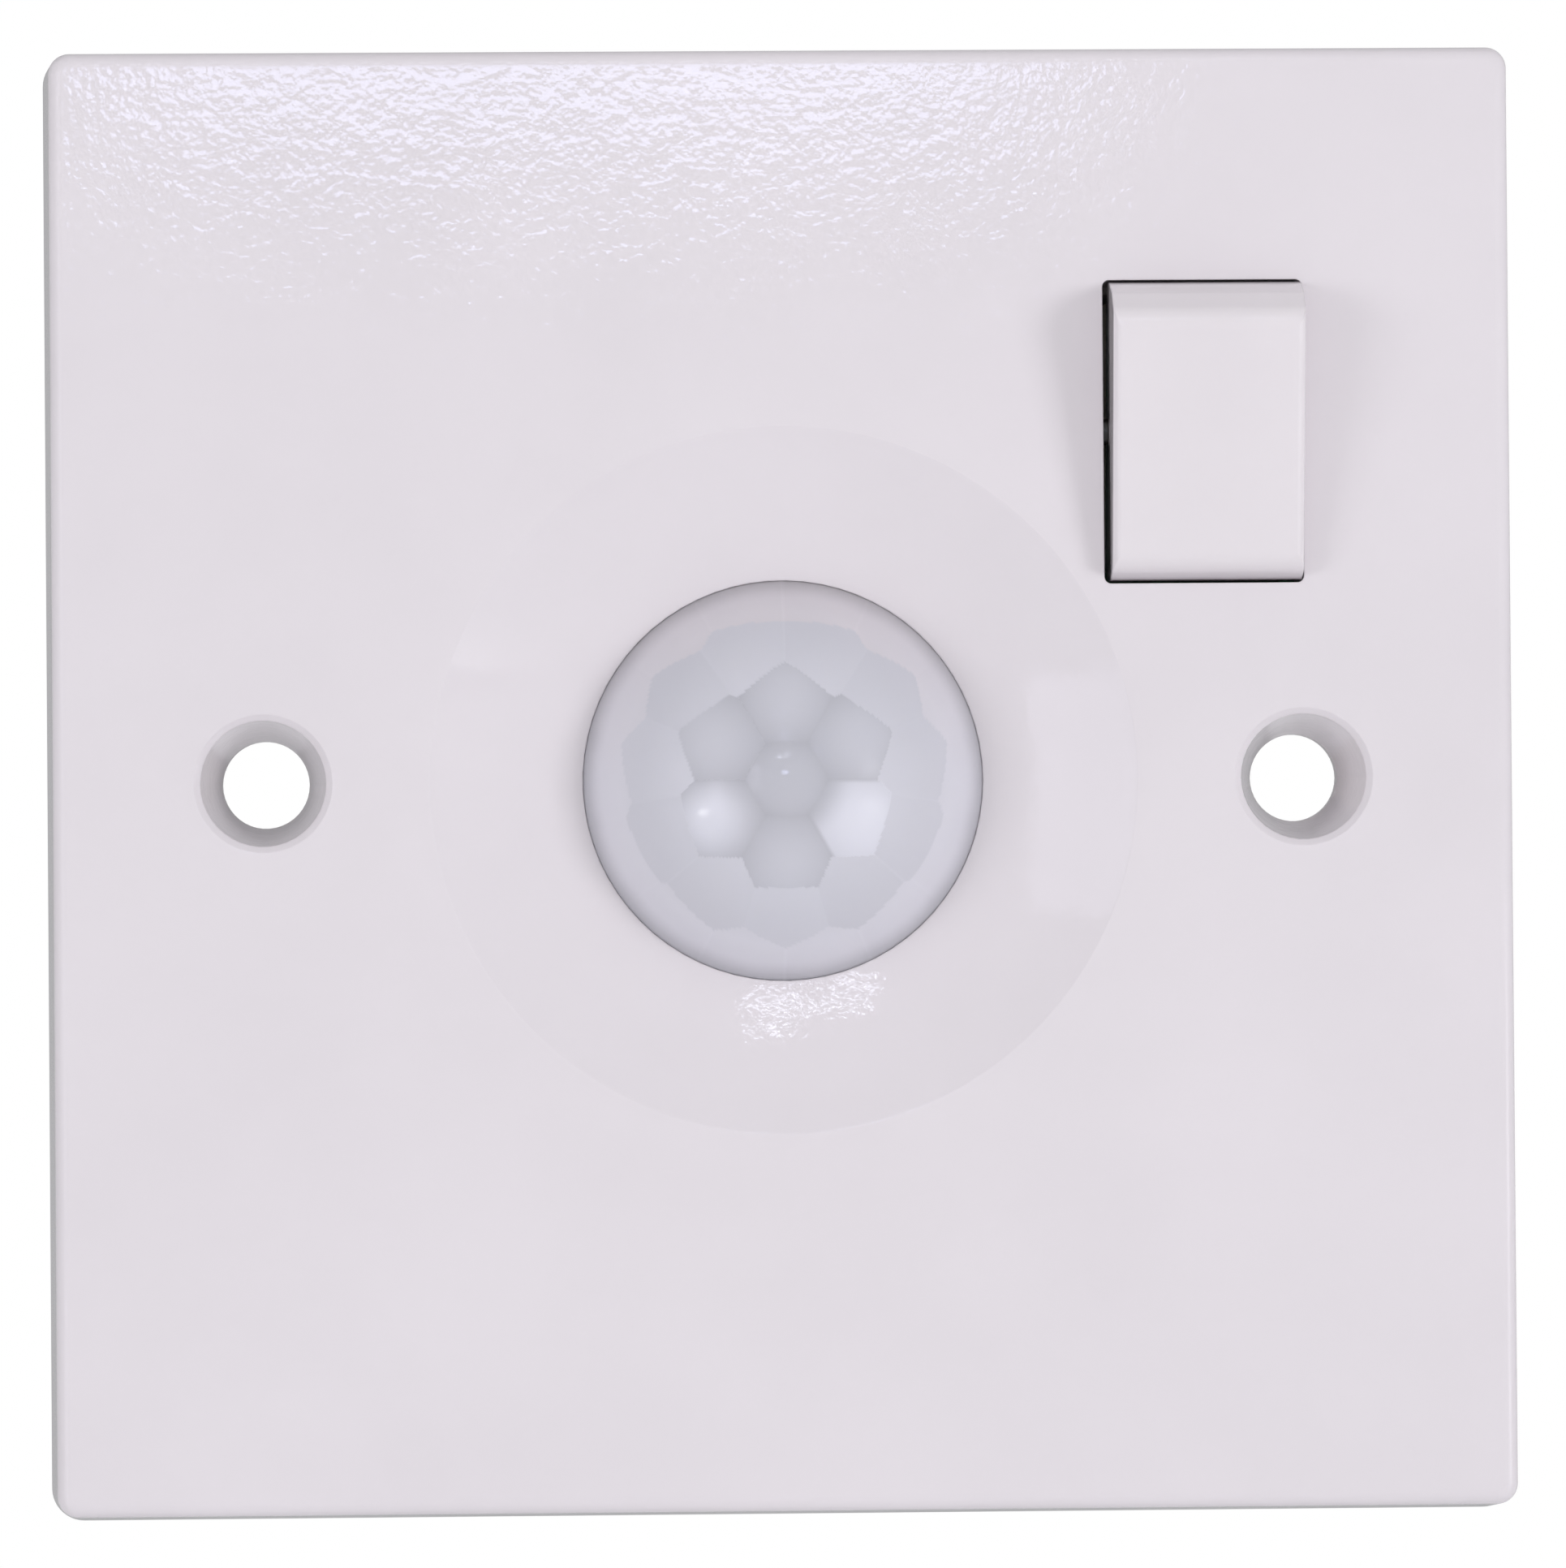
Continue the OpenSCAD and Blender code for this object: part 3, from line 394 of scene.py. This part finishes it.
# The lower right inner lenslet gets a painted reflection all over, the lower left one a painted glint in a
# spot.
REFLECTION_PLACE, REFLECTION_GAIN, REFLECTION_OVER, REFLECTION_EDGE = 4, 0.27, 1.8, 0.09
# The painted glint, and the low roughness that sharpens a lamp's glint on the same lenslet.
GLINT_PLACE, GLINT_GAIN, GLINT_EDGE, GLINT_ROUGH = 2, 0.25, 0.05, 0.17
GLINT_X, GLINT_Z, GLINT_R, GLINT_CORE = -4.45, -2.2, 2.6, 1.15
SECOND_VARIES, SECOND_STEP = 0.014, 2.4
WARM_ABOVE = 0.8
# A painted highlight along the seams, and painted light that brightens the sheet towards its edge.
SEAM_HIGHLIGHT, SEAM_WIDTH = 0.03, 0.008
EDGE_PAINTED_LIGHT, EDGE_R = 0.22, 10.4
WARM_GREEN, WARM_BLUE = 0.045, 0.07


def ease(value):
    t = min(1.0, max(0.0, value))
    return t * t * (3 - 2 * t)


def lens_painted_light(x, z, ring, place, own_fall, apart):
    """Painted light and shade on the sheet, and how rough it is: each lenslet is painted palest at its top
    with painted shade towards its edges, the rim has painted shade and is warmer above, the seams of the
    outer rings carry a painted highlight, the sheet is painted lighter towards its edge, and the two lower
    inner lenslets carry a painted reflection and a painted glint."""
    r = math.hypot(x, z)
    level, rough, warm = PAINTED_LEVEL[ring], ROUGH[ring], WARM[ring]
    # Painted shade: each lenslet darkens towards its edges, and the rim darkens towards its edge.
    if ring == 0:
        level -= PAINTED_SHADE_RATE[ring] * (r / MIDDLE_R) ** 4
    elif ring == 1:
        level -= PAINTED_SHADE_RATE[ring] * own_fall / INNER_FALL
        if place == FROSTED:
            rough = FROSTED_ROUGH
        # Painted reflection over the lower right inner lenslet.
        if place == REFLECTION_PLACE:
            level += REFLECTION_GAIN * ease((r - MIDDLE_R) / REFLECTION_OVER) * ease(apart / REFLECTION_EDGE)
        # Painted glint on the lower left inner lenslet, palest at its core.
        if place == GLINT_PLACE:
            glow = math.hypot(x - GLINT_X, z - GLINT_Z) / GLINT_R
            level += GLINT_GAIN * ease(GLINT_CORE - glow) * ease(apart / GLINT_EDGE)
            rough = GLINT_ROUGH
    elif ring == 2:
        level -= PAINTED_SHADE_RATE[ring] * (r - SECOND_R)
        level += SECOND_VARIES * math.sin(place * SECOND_STEP)
    else:
        level -= PAINTED_SHADE_RATE[ring] * max(0.0, r - OUTER_R)
        level -= RIM_PAINTED_SHADE * max(0.0, r - RIM_R) ** RIM_POWER
        warm += WARM_ABOVE * max(0.0, z / r)
    # Painted highlight along the seams of the outer two rings.
    if ring >= 2:
        level += SEAM_HIGHLIGHT * max(0.0, 1 - apart / SEAM_WIDTH)
    # Painted light, brighter towards the edge.
    level *= 1 + EDGE_PAINTED_LIGHT * (r / EDGE_R) ** 2
    return level, level * (1 - WARM_GREEN * warm), level * (1 - WARM_BLUE * warm), rough


# The attribute holds half the painted light and shade, which keeps it below 1, and roughness in its alpha.
PLAIN_SHEET = (1.1, 1.1, 1.1, 0.3)
ON_DOME = 0.02
EDGE_H = 0.6

# The lens's painted light and shade, set per vertex, with roughness in the alpha.
painted_light_and_roughness = lens.data.color_attributes.new("painted_light_and_roughness", "FLOAT_COLOR", "POINT")
for v in lens.data.vertices:
    x, h, z = v.co.x / MM, -v.co.y / MM, v.co.z / MM
    shown = PLAIN_SHEET
    from_centre = math.sqrt(x * x + z * z + (h - DOME_CENTRE) ** 2)
    if h > DOME_BASE - ON_DOME / 2 and abs(from_centre - DOME_R) < ON_DOME:
        fall, ring, place, own_fall, apart = lenslet(x, z)
        shown = lens_painted_light(x, z, ring, place, own_fall, apart)
        fall *= min(1.0, max(0.0, (h - DOME_BASE) / EDGE_H))
        outwards = Vector((x, -(h - DOME_CENTRE), z)).normalized()
        v.co -= outwards * fall * MM
    painted_light_and_roughness.data[v.index].color = (shown[0] / 2, shown[1] / 2, shown[2] / 2, shown[3])
bpy.ops.object.shade_smooth_by_angle(angle=SMOOTH_BELOW)

# The sheet's two colours are doubled, to make up for the halved painted light and shade.
SHEET_COLOURS = (1.124, 1.117, 1.224, 1), (1.10, 1.10, 1.21, 1)
milk, n, l, skin = new_material("lens_polyethylene")
where = add(n, "TexCoord")
cloud = between(n, l, grain(n, l, where, 6.0, 2.0), 0.0, 1.0)
sheet = tint(n, l, cloud, *SHEET_COLOURS)
# The painted light and shade from the attribute multiply the sheet's colour.
pale = add(n, "Attribute", attribute_name="painted_light_and_roughness")
l.new(tint(n, l, 1.0, sheet, pale.outputs["Color"], "MULTIPLY"), skin.inputs["Base Color"])
fine = grain(n, l, where, 0.7, 2.0)
uneven = between(n, l, fine, 0.9, 1.1)
l.new(maths(n, l, "MULTIPLY", pale.outputs["Alpha"], uneven), skin.inputs["Roughness"])
l.new(ripple(n, l, fine, 0.0018), skin.inputs["Normal"])
skin.inputs["IOR"].default_value = PLASTIC_IOR
skin.inputs["Subsurface Weight"].default_value = 0.30
skin.inputs["Subsurface Radius"].default_value = (1.0, 1.0, 1.1)
skin.inputs["Subsurface Scale"].default_value = 0.0005
lens.data.materials.append(milk)
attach(lens, "base")
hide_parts("lens_dome")


# ---- Rocker ------------------------------------------------------------------------------------------
# A hollow moulding on two studs, white like the plate and a touch brighter, with its upper end proud.
# The same polished finish; the long edges are rounded in the tool. Everything beyond the sides of the face,
# the studs included, is painted near black: painted shade for the dark side gaps.

ROCKER_WHITE, ROCKER_LUMPS = (0.812, 0.767, 0.797, 1), [(2.0, 0.014), (0.5, 0.003)]
ROCKER_MIDDLE_X, ROCKER_HALF_W, PAINTED_SHADE_EDGE = 24.6, 5.56, 0.03
# Near-black painted shade for the studs down in the side gaps.
PAINTED_GAP_SHADE = (0.022, 0.020, 0.018, 1)

rocker_skin, skin = polished("rocker_urea", ROCKER_WHITE, ROCKER_LUMPS, edge_mm=0.15)
n, l = rocker_skin.node_tree.nodes, rocker_skin.node_tree.links
where, split = add(n, "TexCoord"), add(n, "SeparateXYZ")
l.new(where.outputs["Object"], split.inputs["Vector"])
off_centre = maths(n, l, "SUBTRACT", split.outputs["X"], ROCKER_MIDDLE_X * MM)
sideways = maths(n, l, "ABSOLUTE", off_centre)
# Painted shade: beyond the sides of the face the colour turns near black.
in_painted_shade = between(n, l, sideways, 0.0, 1.0, ROCKER_HALF_W * MM, (ROCKER_HALF_W + PAINTED_SHADE_EDGE) * MM)
unshaded_colour = skin.inputs["Base Color"].links[0].from_socket
l.new(tint(n, l, in_painted_shade, unshaded_colour, PAINTED_GAP_SHADE), skin.inputs["Base Color"])
dress(rocker_skin, "rocker")


# ---- Rear case ---------------------------------------------------------------------------------------
# A deep matt tray that goes into the wall box, spark-eroded outside, with holes for the trimmers,
# the terminal screws and the wires.

CASE_GREY = (0.66, 0.645, 0.62, 1)
case_skin, _ = moulded("case_polycarbonate", CASE_GREY, 0.46, (3.0, 0.012), (0.28, 0.010), 0.25)
dress(case_skin, "rear_case")


# ---- Fasteners ---------------------------------------------------------------------------------------
# Cross-head screws that hold the retaining ring, boards and case, slotted terminal screws, and the
# plunger's spring. Rolled or drawn steel, zinc plated, with fine scratches from the driver.

PATCH_MM = 2.2
DRAWN_OUT = (1.0, 0.12, 1.0)
SCRATCH_DEPTH_MM = 0.0012
SMOOTHER, ROUGHER = 0.7, 1.5


def plated(name, colour, rough, scratch_mm, tarnish=0.9, edge_mm=0.06):
    """Plated or drawn metal: fine drawn scratches, and duller patches."""
    made, n, l, skin = new_material(name)
    where = add(n, "TexCoord")
    patches = between(n, l, grain(n, l, where, PATCH_MM, 4.0, 0.6), 0.0, 1.0)
    l.new(tint(n, l, patches, colour, shade(colour, tarnish)), skin.inputs["Base Color"])
    squeeze = add(n, "Mapping", Scale=DRAWN_OUT)
    l.new(where.outputs["Object"], squeeze.inputs["Vector"])
    drawn = add(n, "TexNoise", Scale=1.0 / (scratch_mm * MM), Detail=3.0)
    l.new(squeeze.outputs["Vector"], drawn.inputs["Vector"])
    scratches = drawn.outputs["Fac"]
    l.new(between(n, l, scratches, rough * SMOOTHER, rough * ROUGHER), skin.inputs["Roughness"])
    edge = add(n, "Bevel", Radius=edge_mm * MM, samples=4)
    l.new(ripple(n, l, scratches, SCRATCH_DEPTH_MM, edge.outputs["Normal"]), skin.inputs["Normal"])
    skin.inputs["Metallic"].default_value = 1.0
    return made


zinc = plated("zinc_plate", (0.72, 0.72, 0.74, 1), 0.30, 0.12)
dress(zinc, "retainer_screws", "sensor_board_screws", "power_board_screws", "case_screws")
dress(zinc, "terminal_screws")
dress(plated("spring_wire", (0.60, 0.60, 0.62, 1), 0.28, 0.08), "plunger_spring")


# ---- Terminals ---------------------------------------------------------------------------------------
# A black nylon block with three brass cages, each with a wire hole, a screw and a soldered tag. The
# ring, spacer and header block are the same nylon; contacts and header pins are the same brass.

black_skin, _ = moulded("black_nylon", (0.028, 0.028, 0.030, 1), 0.42, (2.0, 0.008), (0.22, 0.006), 0.12)
dress(black_skin, "terminal_block", "lens_retainer", "pyro_spacer", "header_block")
brass = plated("brass", (0.80, 0.58, 0.27, 1), 0.30, 0.15, 0.8)
dress(brass, "terminal_clamps", "fixed_contacts", "contact_cradle", "contact_bridge", "header_pins")


# ---- Switch under the rocker -------------------------------------------------------------------------
# Housing and plunger are mouldings of natural nylon, which darkens a little towards amber with age.
# The plunger slides in the rocker's stem, against its spring.

nylon_skin, _ = moulded("natural_nylon", (0.74, 0.70, 0.58, 1), 0.38, (2.0, 0.008), (0.3, 0.004), 0.12)
dress(nylon_skin, "switch_housing", "rocker_plunger")


# ---- Boards ------------------------------------------------------------------------------------------
# Glass-fibre laminate under green solder mask. Copper tracks show through as paler lines, and the
# weave of the glass shows faintly in the skin.

TRACK_LENGTH_MM, TRACK_PITCH_MM, TRACK_WIDTH_MM, TRACK_DEPTH_MM = 7.5, 1.9, 0.28, 0.035
WEAVE_SCALE, WEAVE_DEPTH_MM = 420.0, 0.004

board, n, l, skin = new_material("solder_mask")
where = add(n, "TexCoord")
tracks = add(n, "TexBrick", Scale=1.0, offset=0.35)
tracks.inputs["Brick Width"].default_value = TRACK_LENGTH_MM * MM
tracks.inputs["Row Height"].default_value = TRACK_PITCH_MM * MM
tracks.inputs["Mortar Size"].default_value = TRACK_WIDTH_MM * MM
tracks.inputs["Color1"].default_value = (0.012, 0.10, 0.045, 1)
tracks.inputs["Color2"].default_value = (0.014, 0.115, 0.05, 1)
tracks.inputs["Mortar"].default_value = (0.035, 0.21, 0.085, 1)
upright = add(n, "Mapping", Rotation=(math.radians(90), 0, 0))
l.new(where.outputs["Object"], upright.inputs["Vector"])
l.new(upright.outputs["Vector"], tracks.inputs["Vector"])
l.new(tracks.outputs["Color"], skin.inputs["Base Color"])
weave = add(n, "TexWave", Scale=WEAVE_SCALE, Distortion=0.4)
l.new(where.outputs["Object"], weave.inputs["Vector"])
raised = ripple(n, l, tracks.outputs["Fac"], TRACK_DEPTH_MM)
l.new(ripple(n, l, weave.outputs["Fac"], WEAVE_DEPTH_MM, raised), skin.inputs["Normal"])
skin.inputs["Roughness"].default_value = 0.30
dress(board, "sensor_board", "power_board")


# ---- Infra-red sensor --------------------------------------------------------------------------------
# A pressed and nickel-plated can with a dark polished silicon window, on three tinned leads that are
# soldered into the sensor board.

dress(plated("nickel_can", (0.70, 0.68, 0.63, 1), 0.22, 0.2, 0.93, 0.15), "pyro_can")
dress(plated("tinned_wire", (0.76, 0.76, 0.77, 1), 0.3, 0.1), "pyro_leads")
window_skin, n, l, skin = new_material("silicon_window")
film = grain(n, l, add(n, "TexCoord"), 1.5, 2.0)
l.new(tint(n, l, film, (0.035, 0.030, 0.055, 1), (0.06, 0.04, 0.05, 1)), skin.inputs["Base Color"])
skin.inputs["Roughness"].default_value = 0.05
skin.inputs["Coat Weight"].default_value = 0.6
dress(window_skin, "pyro_window")


# ---- Parts on the sensor board -----------------------------------------------------------------------
# A ceramic light cell with its printed zigzag, and the controller chip in moulded epoxy, as are the
# rectifier diodes on the power board. All are soldered.

cell, n, l, skin = new_material("light_cell")
where = add(n, "TexCoord")
zigzag = add(n, "TexWave", Scale=650.0, Distortion=2.0, bands_direction="X")
l.new(where.outputs["Object"], zigzag.inputs["Vector"])
sharp = between(n, l, zigzag.outputs["Fac"], 0.0, 1.0, 0.45, 0.55)
l.new(tint(n, l, sharp, (0.62, 0.42, 0.24, 1), (0.45, 0.10, 0.05, 1)), skin.inputs["Base Color"])
skin.inputs["Roughness"].default_value = 0.4
dress(cell, "light_sensor")
epoxy_skin, _ = moulded("moulded_epoxy", (0.022, 0.022, 0.025, 1), 0.5, (1.5, 0.006), (0.12, 0.006), 0.06)
dress(epoxy_skin, "controller_chip", "rectifier_diodes")


# ---- Parts on the power board ------------------------------------------------------------------------
# Relay in a blue moulded cover, two sleeved capacitors, a boxed film capacitor, a dipped varistor, a
# sleeved choke, a ceramic fuse and three lacquered resistors, all soldered.

relay_skin, _ = moulded("relay_cover", (0.030, 0.085, 0.26, 1), 0.28, (3.0, 0.01), (0.4, 0.002), 0.3)
dress(relay_skin, "relay")
sleeve_skin, _ = moulded("shrunk_sleeve", (0.018, 0.022, 0.06, 1), 0.24, (1.2, 0.02), (0.3, 0.002), 0.4)
dress(sleeve_skin, "electrolytic_capacitors", "choke")
box_skin, _ = moulded("film_box", (0.62, 0.33, 0.03, 1), 0.33, (2.5, 0.01), (0.3, 0.003), 0.3)
dress(box_skin, "film_capacitor")
dip_skin, _ = moulded("dipped_lacquer", (0.02, 0.05, 0.30, 1), 0.18, (1.6, 0.05), (0.5, 0.004), 0.6)
dress(dip_skin, "varistor")
fuse_skin, _ = moulded("glazed_ceramic", (0.74, 0.71, 0.64, 1), 0.2, (1.5, 0.01), (0.3, 0.002), 0.1)
dress(fuse_skin, "fuse")
lacquer_skin, _ = moulded("lacquered_rod", (0.50, 0.34, 0.17, 1), 0.3, (1.2, 0.02), (0.2, 0.003), 0.2)
dress(lacquer_skin, "resistors")


# ---- Trimmers ----------------------------------------------------------------------------------------
# Blue moulded bodies soldered to the back of the power board, with white cross-slotted nylon rotors
# that a screwdriver reaches through the case.

trimmer_skin, _ = moulded("trimmer_case", (0.02, 0.08, 0.30, 1), 0.32, (2.0, 0.008), (0.25, 0.003), 0.12)
dress(trimmer_skin, "time_trimmer_body", "light_trimmer_body")
rotor_skin, _ = moulded("rotor_nylon", (0.76, 0.74, 0.66, 1), 0.36, (1.5, 0.008), (0.2, 0.004), 0.12)
dress(rotor_skin, "time_trimmer_rotor", "light_trimmer_rotor")
